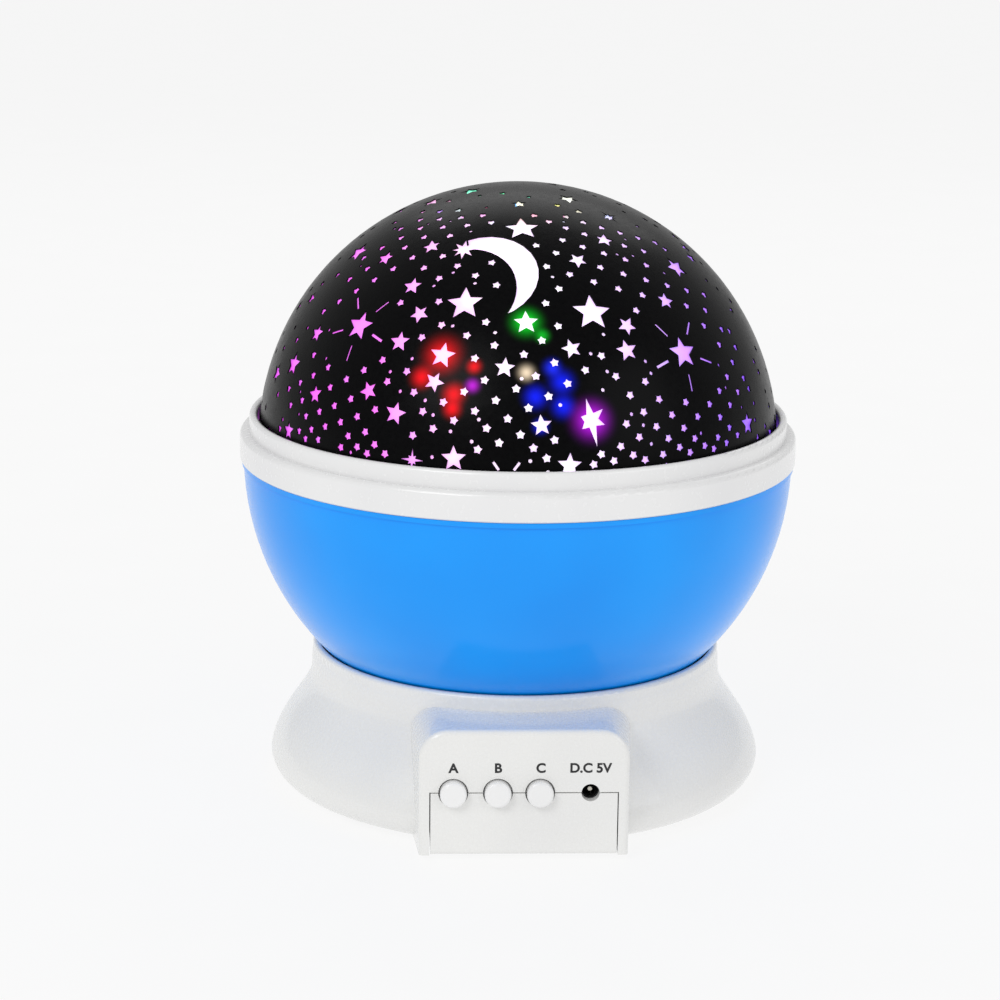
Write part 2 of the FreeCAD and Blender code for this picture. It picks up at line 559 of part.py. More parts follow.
wheel = fine_gear(WHEEL_TEETH, LEVEL_B, FINAL_X, FINAL_Y, to_final + 180.0 - half_pitch)
pinion = gear_prism(FINAL_TEETH, RING_MODULE, TOOTH_THIN, TIP, ROOT, LEVEL_B[1] - 0.1, 27.9,
                    FINAL_X, FINAL_Y, 90.0)
save("final_gear", fuse([wheel, pinion]).cut(disc(1.0 + RUN_FIT, 19, 29, FINAL_X, FINAL_Y)))
wheel = fine_gear(WHEEL_TEETH, LEVEL_A, MIDDLE_X, MIDDLE_Y, to_middle + 180.0 - half_pitch)
pinion = fine_gear(SMALL_TEETH, (LEVEL_A[1] - 0.1, LEVEL_B[1]), MIDDLE_X, MIDDLE_Y, to_final)
save("middle_gear", fuse([wheel, pinion]).cut(disc(0.75 + RUN_FIT, 17, 22, MIDDLE_X, MIDDLE_Y)))
pinion = fine_gear(SMALL_TEETH, (17.6, LEVEL_A[1]), MOTOR_X, MOTOR_Y, to_middle)
save("motor_pinion", pinion.cut(disc(1.0, 17, 20, MOTOR_X, MOTOR_Y)))
save("motor_shaft", disc(1.0, 6.5, LEVEL_A[1], MOTOR_X, MOTOR_Y))

# Turntable with the internal ring gear, its glide ring and hub bush
skirt = disc(TABLE_R, RING_Z0, TABLE_Z0)
space = gear_prism(RING_TEETH, RING_MODULE, -TOOTH_THIN, ROOT, TIP, RING_Z0 - 1, TABLE_Z0, turn=90.0)
skirt = skirt.cut(space)
TABLE_SCREWS = [(18.0 * math.cos(math.radians(a)), 18.0 * math.sin(math.radians(a))) for a in (-30, 90, 210)]
table_bosses = [disc(2.6, 25.9, TABLE_Z0 + 0.1, x, y) for x, y in TABLE_SCREWS]
table = fuse([skirt, disc(TABLE_R, TABLE_Z0, TABLE_Z1), disc(HUB_R, HUB_Z0, HUB_Z1)] + table_bosses)
table = cut_all(table, [disc(BUSH_R, HUB_Z0 - 1, HUB_Z1 + 1)] +
                [disc(0.9 + SCREW_FIT, 26.6, TABLE_Z1 + 1, x, y) for x, y in TABLE_SCREWS])
save("turntable", table)
save("hub_bush", ring(BUSH_R, POST_R + RUN_FIT, HUB_Z0, HUB_Z1))
save("glide_ring", ring(40.8, 38.9, DECK_Z1, RING_Z0 - 0.1))
bowl_floor_top = TABLE_Z1 + BOWL_FLOOR_T
table_screws = [screw(x, y, bowl_floor_top, 26.8, 0.9, 1.9, 1.3) for x, y in TABLE_SCREWS]
save("turntable_screws", Part.makeCompound(table_screws))

# Fixed centre post with the lamp board on top
post = fuse([disc(13.5, DECK_Z1, 27.0), disc(POST_R, 26.9, 84.1), disc(15.0, 84.0, LAMP_Z)])
clip_z0 = HUB_Z1 + 0.3
clip_z1 = clip_z0 + 0.8
LAMP_SCREWS = POST_SCREWS
post_cuts = [disc(POST_BORE_R, DECK_Z1 - 1, LAMP_Z + 1), ring(9.0, 6.2, clip_z0, clip_z1)]
post_cuts += [disc(0.9 + SCREW_FIT, DECK_Z1 - 0.1, 26.7, x, y) for x, y in POST_SCREWS]
post_cuts += [disc(0.9 + SCREW_FIT, 84.2, LAMP_Z + 0.1, x, y) for x, y in LAMP_SCREWS]
save("centre_post", cut_all(post, post_cuts))
save("post_screws", Part.makeCompound([screw(x, y, DECK_Z0, 26.5, 0.9, 1.9, 1.2) for x, y in POST_SCREWS]))
clip = ring(9.6, 6.2, clip_z0, clip_z1).cut(block(-4.4, 4.4, -11, 0, clip_z0 - 1, clip_z1 + 1))
save("retaining_clip", clip)
lamp_board = disc(LAMP_BOARD_R, LAMP_Z, LAMP_Z + 1.6)
save("led_board", cut_all(lamp_board, [disc(1.15, 80, 90, x, y) for x, y in LAMP_SCREWS]))
save("led_board_screws",
     Part.makeCompound([screw(x, y, LAMP_Z + 1.6, 84.4, 0.9, 1.8, 1.2) for x, y in LAMP_SCREWS]))
LAMPS = (("red", -16.0, -4.0), ("blue", 14.0, -8.0), ("green", 2.0, 15.0), ("warm", 0.0, 0.0))
for name, x, y in LAMPS:
    z = LAMP_Z + 1.6
    lens = fuse([disc(2.9, z, z + 1.0, x, y), disc(2.5, z + 0.9, z + 6.1, x, y),
                 Part.makeSphere(2.5, Vec(x, y, z + 6.1))])
    save("led_" + name, lens)

# Leads
lead_r = 0.5
battery_leads = []
for y_start, z in zip((cell_ys[0], cell_ys[3]), LEAD_Z):
    battery_leads.append(lead([(LEAD_X, y_start, z), (LEAD_X, -31.5, z), (16.5, -45.0, z),
                               (16.5, BOARD_Y1, z)], lead_r, 2.0))
save("battery_leads", Part.makeCompound(battery_leads))
motor_leads = []
for x_board, x_run, y_drop in ((16.6, 21.6, 38.6), (18.2, 23.4, 36.0)):
    motor_leads.append(lead([(x_board, BOARD_Y1, 19.0), (x_board, -43.0, 19.0), (x_run, -35.0, 19.0),
                             (x_run, y_drop, 19.0), (x_run, y_drop, 5.0), (MOTOR_X + 12.4, y_drop, 5.0)],
                            lead_r, 2.0))
save("motor_leads", Part.makeCompound(motor_leads))
led_leads = []
for number in range(5):
    x = 1.4 * (number - 2)
    led_leads.append(lead([(x, BOARD_Y1, 20.0), (x, 0.0, 20.0), (x, 0.0, LAMP_Z)], lead_r, 4.0))
save("led_leads", Part.makeCompound(led_leads))

# Bowl: sphere with a flat floor, a bead below the rim and a spigot for the collar
whole = Part.makeSphere(BOWL_R, Vec(0, 0, BOWL_CENTRE_Z)).common(disc(90, TABLE_Z1, BOWL_CENTRE_Z))
bead = ring(BOWL_BEAD_R, BOWL_SPIGOT_R, BOWL_CENTRE_Z - BOWL_BEAD_H, BOWL_CENTRE_Z)
bowl = fuse([whole, bead, disc(BOWL_SPIGOT_R, BOWL_CENTRE_Z - 0.1, BOWL_SPIGOT_TOP)])
hollow = Part.makeSphere(BOWL_R - BOWL_WALL, Vec(0, 0, BOWL_CENTRE_Z)).common(disc(90, bowl_floor_top, 70.0))
throat = turned_points([(0, 69.9), (math.sqrt((BOWL_R - BOWL_WALL) ** 2 - (BOWL_CENTRE_Z - 69.9) ** 2), 69.9),
                        (60.9, 74.5), (60.9, 90.0), (0, 90.0)])
bowl = cut_all(bowl, [hollow, throat, disc(HUB_R + 0.3, TABLE_Z1 - 1, 40)] +
               [disc(1.15, TABLE_Z1 - 1, 33, x, y) for x, y in TABLE_SCREWS])
save("bowl", bowl)

# Collar: band, step and seat, bored to hold the dome flange down on the bowl
seat_top_r = (COLLAR_SEAT_R + COLLAR_LIP_R) / 2.0
round_r = (COLLAR_SEAT_R - COLLAR_LIP_R) / 2.0
collar_edges = [
    line((COLLAR_BORE_R, 0, COLLAR_Z0), (COLLAR_R - 0.3, 0, COLLAR_Z0)),
    line((COLLAR_R - 0.3, 0, COLLAR_Z0), (COLLAR_R, 0, COLLAR_Z0 + 0.3)),
    line((COLLAR_R, 0, COLLAR_Z0 + 0.3), (COLLAR_R, 0, COLLAR_STEP_Z - 1.2)),
    arc((COLLAR_R, 0, COLLAR_STEP_Z - 1.2), (COLLAR_R - 0.35, 0, COLLAR_STEP_Z - 0.35),
        (COLLAR_R - 1.2, 0, COLLAR_STEP_Z)),
    line((COLLAR_R - 1.2, 0, COLLAR_STEP_Z), (COLLAR_SEAT_R, 0, COLLAR_STEP_Z)),
    line((COLLAR_SEAT_R, 0, COLLAR_STEP_Z), (COLLAR_SEAT_R, 0, COLLAR_TOP_Z - round_r)),
    arc((COLLAR_SEAT_R, 0, COLLAR_TOP_Z - round_r), (seat_top_r, 0, COLLAR_TOP_Z),
        (COLLAR_LIP_R, 0, COLLAR_TOP_Z - round_r)),
    line((COLLAR_LIP_R, 0, COLLAR_TOP_Z - round_r), (COLLAR_LIP_R, 0, DOME_FLANGE_Z1 + 0.1)),
    line((COLLAR_LIP_R, 0, DOME_FLANGE_Z1 + 0.1), (COLLAR_BORE_R, 0, DOME_FLANGE_Z1 + 0.1)),
    line((COLLAR_BORE_R, 0, DOME_FLANGE_Z1 + 0.1), (COLLAR_BORE_R, 0, COLLAR_Z0))]
save("collar", turned(collar_edges))

# Milky star dome under a black skin with real windows
dome_centre = Vec(0, 0, DOME_CENTRE_Z)
dome = Part.makeSphere(DOME_R, dome_centre).common(disc(90, DOME_FLANGE_Z0, 150))
dome = dome.fuse(disc(DOME_FLANGE_R, DOME_FLANGE_Z0, DOME_FLANGE_Z1))
inside = Part.makeSphere(DOME_R - DOME_WALL, dome_centre).common(disc(90, DOME_CENTRE_Z, 150))
save("star_dome", dome.cut(inside.fuse(disc(DOME_R - DOME_WALL, DOME_FLANGE_Z0 - 2, DOME_CENTRE_Z + 0.1))))

# The larger windows, each by azimuth from the front (right is plus), elevation, size and turn
BIG_STARS = (
    (-18, 42, 4.3, 8), (17, 40, 4.6, -6), (-2, 64, 4.3, 4), (-21, 30, 3.1, -4), (-1, 38, 2.9, 2),
    (-33, 32, 2.6, 6), (-36, 45, 2.5, 10), (-30, 17, 2.7, -8), (-16, 9, 2.9, 3), (8, 8, 2.8, -4),
    (24, 31, 2.7, 5), (-67, 22, 3.1, 6), (-73, 50, 3.2, 12), (57, 48, 3.2, 4), (57, 11, 2.9, -6))
RAYED_STARS = ((-47, 34, 3.8, 2), (40, 29, 4.0, -4), (-5, 5, 0.0, 0), (-130, 34, 3.4, 6), (140, 40, 3.6, -6),
               (178, 16, 3.2, 0))
BURSTS = ((51, 66, 2.4, 8, (1.9, 1.1)), (-25, 8, 2.2, 8, (2.0, 1.0)), (-150, 55, 2.4, 8, (1.9, 1.1)),
          (125, 20, 2.2, 8, (2.6, 1.3)))
SPARK_AT = ((13, 17), (-165, 24))
SPARK_REACH = (5.0, 3.6, 3.2, 6.0, 2.8, 2.4)
SPARK_WAIST = 1.6
MOON_AZ = -7.0
MOON_EL = 50.0
BACK_MOON_AZ = 172.0
MOON_OUTER = (-4.9, -0.3, 11.9, 112.0, -66.0)
MOON_INNER = (-9.5, -4.5, 12.0, -30.0, 86.0)
MOON_SPARK = (-10.3, 7.9)
MOON_SPARK_R = 3.2
SMALL_R = 1.05
WINDOW_GAP = 0.5
GOLDEN = 0.618034
FRONT_AZ = -2.0
FRONT_HALF = 64.0
FRONT_LOW = 8.0
FRONT_HIGH = 70.0
FRONT_COUNT = 300
FILL_COUNT = 460


def on_dome(azimuth, elevation):
    a = math.radians(azimuth - 90.0)
    e = math.radians(elevation)
    return Vec(math.cos(e) * math.cos(a), math.cos(e) * math.sin(a), math.sin(e))


def local_axes(way):
    right = UP.cross(way).normalize()
    return right, way.cross(right)


def window(way, points):
    """A prism standing on the dome along its normal, from flat (right, up) points in millimetres."""
    right, upward = local_axes(way)
    origin = dome_centre + way * (MASK_R - 6.0)
    corners = [origin + right * px + upward * py for px, py in points]
    return Part.Face(Part.makePolygon(corners + [corners[0]])).extrude(way * 8.0)


def star_points(size, turn, tips=5, waist=0.45):
    points = []
    for n in range(2 * tips):
        r = size if n % 2 == 0 else size * waist
        a = math.radians(90.0 + turn + 180.0 * n / tips)
        points.append((r * math.cos(a), r * math.sin(a)))
    return points


def ray_points(angle, near, far, half_width):
    c = math.cos(math.radians(angle))
    s = math.sin(math.radians(angle))
    return [(near * c - half_width * s, near * s + half_width * c), (far * c - half_width * s, far * s + half_width * c),
            (far * c + half_width * s, far * s - half_width * c), (near * c + half_width * s, near * s - half_width * c)]


def moon_points(way):
    """A crescent open to the lower left, mirrored where way is -1."""
    points = []
    for across, height, radius, first, last in (MOON_OUTER, MOON_INNER):
        for n in range(15):
            a = math.radians(first + (last - first) * n / 14.0)
            points.append((across + radius * math.cos(a), height + radius * math.sin(a)))
    return [(way * px, py) for px, py in points]


taken = []
windows = []
horns = []
for azimuth, elevation, size, turn in BIG_STARS:
    way = on_dome(azimuth, elevation)
    windows.append(window(way, star_points(size, turn)))
    taken.append((way, size))
for azimuth, elevation, size, turn in RAYED_STARS:
    way = on_dome(azimuth, elevation)
    if size:
        windows.append(window(way, star_points(size, turn)))
    reach = max(size, 2.2)
    for n in range(5):
        windows.append(window(way, ray_points(54.0 + turn + 72.0 * n, reach * 1.25, reach * 2.2, 0.28)))
    taken.append((way, reach * 2.3))
for azimuth, elevation, size, tips, reach in BURSTS:
    way = on_dome(azimuth, elevation)
    points = []
    for n in range(tips):
        for k, r in ((0.0, reach[n % len(reach)] * size * 0.62), (0.5, size * 0.36)):
            a = math.radians(90.0 + 360.0 * (n + k) / tips)
            points.append((r * math.cos(a), r * math.sin(a)))
    windows.append(window(way, points))
    taken.append((way, size * 1.6))
for azimuth, elevation in SPARK_AT:
    way = on_dome(azimuth, elevation)
    points = []
    for n, reach in enumerate(SPARK_REACH):
        for turn, r in ((0.0, reach), (30.0, SPARK_WAIST)):
            a = math.radians(100.0 - 60.0 * n - turn)
            points.append((r * math.cos(a), r * math.sin(a)))
    windows.append(window(way, points))
    taken.append((way, max(SPARK_REACH)))
for moon_az, moon_way in ((MOON_AZ, 1.0), (BACK_MOON_AZ, -1.0)):
    way = on_dome(moon_az, MOON_EL)
    windows.append(window(way, moon_points(moon_way)))
    right, upward = local_axes(way)
    horn = (way * MASK_R + right * (MOON_SPARK[0] * moon_way) + upward * MOON_SPARK[1]).normalize()
    horns.append(window(horn, star_points(MOON_SPARK_R, 10.0, 8, 0.42)))
    taken.append((horn, MOON_SPARK_R))
    for angle in (90.0, 60.0, 30.0, 0.0, -30.0, -55.0):
        across = MOON_OUTER[0] + 9.6 * math.cos(math.radians(angle))
        height = MOON_OUTER[1] + 9.6 * math.sin(math.radians(angle))
        taken.append(((way * MASK_R + right * (across * moon_way) + upward * height).normalize(), 3.0))

# Small windows spread over the front, closer together low down, with a larger one now and then
for n in range(FRONT_COUNT):
    azimuth = FRONT_AZ + FRONT_HALF * (2.0 * (n * GOLDEN % 1.0) - 1.0)
    elevation = FRONT_LOW + (FRONT_HIGH - FRONT_LOW) * (n / FRONT_COUNT) ** 1.6
    size = 2.4 if n % 9 == 4 else SMALL_R
    waist = 0.45 if n % 9 == 4 else 0.62
    way = on_dome(azimuth, elevation)
    if all(way.getAngle(other) * MASK_R > r + size + WINDOW_GAP for other, r in taken):
        windows.append(window(way, star_points(size, 17.0 * n % 72.0, 5, waist)))
        taken.append((way, size))

# The sides and back carry the same mixture, spread by the golden angle with a little scatter
scatter = random.Random(7)
for n in range(FILL_COUNT):
    height = 0.075 + 0.915 * (n + 0.5) / FILL_COUNT
    azimuth = (n * 137.508 + scatter.uniform(-6, 6) + 180.0) % 360.0 - 180.0
    elevation = math.degrees(math.asin(height)) + scatter.uniform(-1.2, 1.2)
    front = abs(azimuth + 2.0) < 62.0 and elevation < 72.0
    size = (2.6, 0.95, 0.6, 0.95, 1.9, 0.6, 0.95)[n % 7]
    if front:
        size = 0.45
    way = on_dome(azimuth, min(elevation, 87.0))
    if elevation > 5.0 and all(way.getAngle(o) * MASK_R > r + size + WINDOW_GAP for o, r in taken):
        if size > 1.5:
            windows.append(window(way, star_points(size, scatter.uniform(-20, 20))))
        elif size > 0.8:
            windows.append(window(way, star_points(size, scatter.uniform(0, 72), 5, 0.62)))
        else:
            windows.append(window(way, star_points(size, scatter.uniform(0, 60), 3, 1.0)))
        taken.append((way, size))

mask = Part.makeSphere(MASK_R, dome_centre).cut(Part.makeSphere(MASK_R - MASK_T, dome_centre))
mask = mask.common(disc(90, MASK_Z0, 150))
mask = mask.cut(Part.makeCompound(windows)).cut(Part.makeCompound(horns))
save("star_mask", max(mask.Solids, key=lambda solid: solid.Volume))
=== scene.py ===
import bpy
import math
from mathutils import Matrix, Vector


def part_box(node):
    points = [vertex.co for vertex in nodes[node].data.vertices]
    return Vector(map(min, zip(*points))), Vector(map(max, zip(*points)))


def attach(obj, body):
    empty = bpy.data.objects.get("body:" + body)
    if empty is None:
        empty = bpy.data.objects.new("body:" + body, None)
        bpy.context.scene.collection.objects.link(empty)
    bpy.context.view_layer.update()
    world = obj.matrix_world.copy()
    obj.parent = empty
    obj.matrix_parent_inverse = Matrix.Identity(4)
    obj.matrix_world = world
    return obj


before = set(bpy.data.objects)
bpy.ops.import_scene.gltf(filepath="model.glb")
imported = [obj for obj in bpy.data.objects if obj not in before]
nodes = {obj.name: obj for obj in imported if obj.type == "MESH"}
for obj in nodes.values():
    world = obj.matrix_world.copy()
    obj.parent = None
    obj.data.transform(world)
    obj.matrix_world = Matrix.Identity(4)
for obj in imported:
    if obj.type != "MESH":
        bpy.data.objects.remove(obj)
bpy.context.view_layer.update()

# Base shell and bottom cover.
# On the real lamp these are two injection mouldings in glossy white ABS, joined under the base.
# The surface is polished in the tool, with a faint ripple and a slightly warm tint in slow random patches.
MM = 0.001


def colour(code):
    parts = [int(code[i:i + 2], 16) / 255.0 for i in (0, 2, 4)]
    return [p / 12.92 if p <= 0.04045 else ((p + 0.055) / 1.055) ** 2.4 for p in parts] + [1.0]


def node(tree, kind, links=None, inputs=None, **settings):
    made = tree.nodes.new("ShaderNode" + kind)
    for key, value in settings.items():
        setattr(made, key, value)
    for key, value in (inputs or {}).items():
        made.inputs[key].default_value = value
    for key, source in (links or {}).items():
        tree.links.new(source, made.inputs[key])
    return made


def new_material(name):
    made = bpy.data.materials.new(name)
    made.use_nodes = True
    tree = made.node_tree
    tree.nodes.clear()
    place = node(tree, "TexCoord").outputs["Object"]
    shader = node(tree, "BsdfPrincipled")
    node(tree, "OutputMaterial", {"Surface": shader.outputs["BSDF"]})
    return made, tree, place, shader


def set_inputs(shader, **values):
    for key, value in values.items():
        shader.inputs[key.replace("_", " ")].default_value = value


def blend_colours(tree, factor, low, high, blend="MIX"):
    mix = node(tree, "Mix", data_type="RGBA", blend_type=blend)
    for socket, value in ((0, factor), (6, low), (7, high)):
        if hasattr(value, "is_output"):
            tree.links.new(value, mix.inputs[socket])
        else:
            mix.inputs[socket].default_value = value
    return mix.outputs[2]


def noise(tree, place, size_mm, detail=3.0):
    made = node(tree, "TexNoise", {"Vector": place}, {"Scale": 1.0 / (size_mm * MM), "Detail": detail})
    return made.outputs["Fac"]


def bump(tree, shader, height, depth_mm, strength=1.0):
    made = node(tree, "Bump", {"Height": height}, {"Distance": depth_mm * MM, "Strength": strength})
    tree.links.new(made.outputs["Normal"], shader.inputs["Normal"])


def span(tree, value, low, high, to_low=0.0, to_high=1.0, smooth=False):
    made = node(tree, "MapRange", {"Value": value},
                {"From Min": low, "From Max": high, "To Min": to_low, "To Max": to_high})
    made.interpolation_type = "SMOOTHSTEP" if smooth else "LINEAR"
    return made.outputs["Result"]


def polished_plastic(name, base, shade, roughness, ripple_mm=9.0, depth_mm=0.012):
    """Tool-polished moulding: slow ripple, tiny specks in gloss, a darker tint in worn patches."""
    made, tree, place, shader = new_material(name)
    slow = noise(tree, place, 38.0, 2.0)
    fine = noise(tree, place, 1.3, 4.0)
    tint = blend_colours(tree, span(tree, slow, 0.35, 0.7), colour(base), colour(shade))
    tree.links.new(tint, shader.inputs["Base Color"])
    gloss = span(tree, fine, 0.3, 0.75, roughness * 0.85, roughness * 1.25)
    tree.links.new(gloss, shader.inputs["Roughness"])
    ripple = node(tree, "Math", {0: noise(tree, place, ripple_mm, 2.0), 1: span(tree, fine, 0.0, 1.0, 0.0, 0.01)},
                  operation="ADD").outputs[0]
    bump(tree, shader, ripple, depth_mm)
    set_inputs(shader, IOR=1.52, Coat_Weight=0.25, Coat_Roughness=0.06)
    return made


def moulded_plastic(name, base, shade, roughness=0.5, grain_mm=0.35, depth_mm=0.02):
    """Spark-textured moulding, matt, with an even fine grain."""
    made, tree, place, shader = new_material(name)
    grain = noise(tree, place, grain_mm, 2.0)
    slow = noise(tree, place, 14.0, 2.0)
    tree.links.new(blend_colours(tree, span(tree, slow, 0.3, 0.7), colour(base), colour(shade)),
                   shader.inputs["Base Color"])
    tree.links.new(span(tree, grain, 0.3, 0.7, roughness * 0.85, roughness * 1.1), shader.inputs["Roughness"])
    bump(tree, shader, grain, depth_mm)
    set_inputs(shader, IOR=1.5)
    return made


def brushed_metal(name, base, shade, roughness=0.28, stretch=(1.0, 1.0, 14.0)):
    """Drawn or rolled metal with fine lines and a little tarnish."""
    made, tree, place, shader = new_material(name)
    drawn = node(tree, "Mapping", {"Vector": place}, {"Scale": stretch}).outputs["Vector"]
    lines = noise(tree, drawn, 1.2, 3.0)
    tarnish = noise(tree, place, 6.0, 3.0)
    tree.links.new(blend_colours(tree, span(tree, tarnish, 0.4, 0.75), colour(base), colour(shade)),
                   shader.inputs["Base Color"])
    tree.links.new(span(tree, lines, 0.3, 0.7, roughness * 0.7, roughness * 1.35), shader.inputs["Roughness"])
    bump(tree, shader, lines, 0.006)
    set_inputs(shader, Metallic=1.0)
    return made


def dress(material, *names):
    for name in names:
        slots = nodes[name].material_slots
        for slot in slots:
            slot.material = material
        if not slots:
            nodes[name].data.materials.append(material)


white_abs = polished_plastic("white_abs_gloss", "EAEAE8", "E4E4E3", 0.26)
dress(white_abs, "base_shell", "base_cover", "battery_door")

# Feet.
# Four die-cut rubber discs are glued over the cover screws.
# They are grey, matt, and hold a little dust.
foot_rubber = moulded_plastic("foot_rubber_grey", "6B6D71", "5B5D61", 0.78, 0.5, 0.03)
dress(foot_rubber, "foot_1", "foot_2", "foot_3", "foot_4")

# Screws, springs and contacts.
# Zinc-plated steel screws, nickel-plated contact strip and music-wire springs.
# Drawn lines run along the wire and the shanks.
zinc_steel = brushed_metal("screw_zinc_steel", "B9BBBF", "9FA2A6")
nickel_strip = brushed_metal("contact_nickel", "CBC8BF", "B5B1A6", 0.22, (14.0, 1.0, 1.0))
spring_wire = brushed_metal("spring_steel_wire", "A8AAAD", "8C8E91", 0.3)
dress(zinc_steel, "base_screws", "board_screws", "motor_screws", "gear_plate_screws", "post_screws",
      "turntable_screws", "led_board_screws")
dress(nickel_strip, "battery_plates", "dc_jack_pin")
dress(spring_wire, "battery_springs", "retaining_clip")

# Cells.
# Four AAA cells wear plain green shrink jackets with a dark band near the plus end.
# The film is glossy and puckers slightly at its ends.
cell_jacket, tree, place, shader = new_material("cell_jacket_film")
across = node(tree, "SeparateXYZ", {"Vector": place}).outputs["X"]
ends = node(tree, "Math", {0: across}, operation="ABSOLUTE").outputs[0]
banded = blend_colours(tree, span(tree, ends, 12.0 * MM, 12.2 * MM), colour("2E7A55"), colour("1B1D1E"))
capped = span(tree, ends, 21.2 * MM, 21.4 * MM)
tree.links.new(blend_colours(tree, capped, banded, colour("C9C9C6")), shader.inputs["Base Color"])
tree.links.new(capped, shader.inputs["Metallic"])
tree.links.new(span(tree, noise(tree, place, 2.0), 0.3, 0.7, 0.2, 0.32), shader.inputs["Roughness"])
bump(tree, shader, noise(tree, place, 2.5), 0.02)
dress(cell_jacket, "battery_1", "battery_2", "battery_3", "battery_4")

# Circuit boards and what is soldered on them.
# Green solder mask over copper tracks, on a glass laminate with a faint weave.
# The tracks stand a few hundredths of a millimetre proud.
board_green, tree, place, shader = new_material("circuit_board_mask")
tracks = node(tree, "TexBrick", {"Vector": place},
              {"Scale": 1.0 / (9.0 * MM), "Mortar Size": 0.035, "Mortar Smooth": 0.1,
               "Color1": colour("1D6E3E"), "Color2": colour("1A6337"), "Mortar": colour("2F8F52")})
weave = node(tree, "TexWave", {"Vector": place}, {"Scale": 1.0 / (1.1 * MM), "Distortion": 0.6}).outputs["Fac"]
tree.links.new(blend_colours(tree, 0.12, tracks.outputs["Color"], colour("0F4A26")), shader.inputs["Base Color"])
tree.links.new(span(tree, weave, 0.0, 1.0, 0.28, 0.42), shader.inputs["Roughness"])
bump(tree, shader, tracks.outputs["Fac"], 0.04)
dress(board_green, "control_board", "led_board")
component_black = moulded_plastic("component_epoxy_black", "18191B", "232427", 0.5, 0.25, 0.015)
dress(component_black, "board_parts", "tact_switch_a", "tact_switch_b", "tact_switch_c", "dc_jack", "motor_cap")

# Leads.
# PVC-sheathed stranded wire, red and black, half a millimetre in radius.
# The sheath is smooth with slow soft bends.
lead_red = moulded_plastic("lead_pvc_red", "B5211C", "9C1B18", 0.38, 0.8, 0.01)
lead_black = moulded_plastic("lead_pvc_black", "1A1A1B", "262627", 0.38, 0.8, 0.01)
dress(lead_red, "battery_leads", "led_leads")
dress(lead_black, "motor_leads")

# Push buttons.
# Three glossy white ABS caps stand through the panel, brighter than the shell around them.
# Each has the same polish as the base and a soft rounded rim.
button_white = polished_plastic("button_white_gloss", "EEEEEE", "E9E9E9", 0.22, 5.0, 0.006)
dress(button_white, "button_a", "button_b", "button_c")

# Panel letters.
# Thin black pad-printed letters above the buttons and the inlet, 2.1 mm tall.
# They are plain function letters and a plain voltage.
print_ink, tree, place, shader = new_material("pad_print_black")
specks = noise(tree, place, 0.4, 2.0)
tree.links.new(blend_colours(tree, span(tree, specks, 0.4, 0.8), colour("121214"), colour("26262A")),
               shader.inputs["Base Color"])
tree.links.new(span(tree, specks, 0.3, 0.7, 0.35, 0.5), shader.inputs["Roughness"])
LETTER_H = 2.1 * MM
LETTER_Z = 22.0 * MM
panel_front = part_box("base_shell")[0].y
for name, words, x_mm in (("print_a", "A", -16.1), ("print_b", "B", -6.3), ("print_c", "C", 3.1),
                          ("print_dc", "D.C 5V", 14.0)):
    curve = bpy.data.curves.new(name, "FONT")
    curve.body = words
    curve.size = LETTER_H / 0.70
    curve.align_x = "CENTER"
    curve.extrude = 0.015 * MM
    curve.offset = 0.10 * MM
    text = bpy.data.objects.new(name, curve)
    bpy.context.collection.objects.link(text)
    bpy.ops.object.select_all(action="DESELECT")
    text.select_set(True)
    bpy.context.view_layer.objects.active = text
    bpy.ops.object.convert(target="MESH")
    letters = bpy.context.view_layer.objects.active
    stand = Matrix.Translation(Vector((x_mm * MM, panel_front - 0.01 * MM, LETTER_Z - LETTER_H / 2.0)))
    letters.data.transform(stand @ Matrix.Rotation(math.radians(90.0), 4, "X"))
    letters.data.materials.clear()
    letters.data.materials.append(print_ink)
    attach(letters, "base")

# Motor, gear plate and gears.
# A small steel-canned motor drives white acetal gears through a brass pinion.
# The gear plate is matt black; the axles are ground steel.
motor_steel = brushed_metal("motor_can_steel", "B6B8BA", "9A9C9F", 0.24, (1.0, 1.0, 10.0))
black_abs = moulded_plastic("gear_plate_black", "1C1C1D", "262628", 0.55)
acetal_white = moulded_plastic("acetal_white", "ECEAE3", "E2E0D8", 0.42, 0.6, 0.008)
turned_brass = brushed_metal("turned_brass", "CDA95C", "B08C42", 0.2, (1.0, 1.0, 8.0))
dress(motor_steel, "motor_case", "gear_axle_1", "gear_axle_2", "motor_shaft")
dress(black_abs, "gear_plate")
dress(acetal_white, "turntable", "glide_ring", "final_gear", "middle_gear")
dress(turned_brass, "hub_bush", "motor_pinion")

# Centre post and lamps.
# The fixed post is matt white; the lamps are moulded clear-tinted lenses on a round board.
# Each lens glows in its own colour.
post_white = moulded_plastic("post_white_matt", "DEDEDC", "D3D3D0", 0.5)
dress(post_white, "centre_post")
for name, tint in (("red", "FF2A1E"), ("green", "2CE45A"), ("blue", "2A4BFF"), ("warm", "FFF0D0")):
    lens, tree, place, shader = new_material("lamp_lens_" + name)
    cloud = noise(tree, place, 1.5, 2.0)
    shade = blend_colours(tree, span(tree, cloud, 0.3, 0.7), colour(tint), colour("FFFFFF"))
    tree.links.new(blend_colours(tree, 0.75, shade, colour(tint)), shader.inputs["Base Color"])
    tree.links.new(blend_colours(tree, 0.8, shade, colour(tint)), shader.inputs["Emission Color"])
    set_inputs(shader, Roughness=0.15, Emission_Strength=3.0)
    dress(lens, "led_" + name)

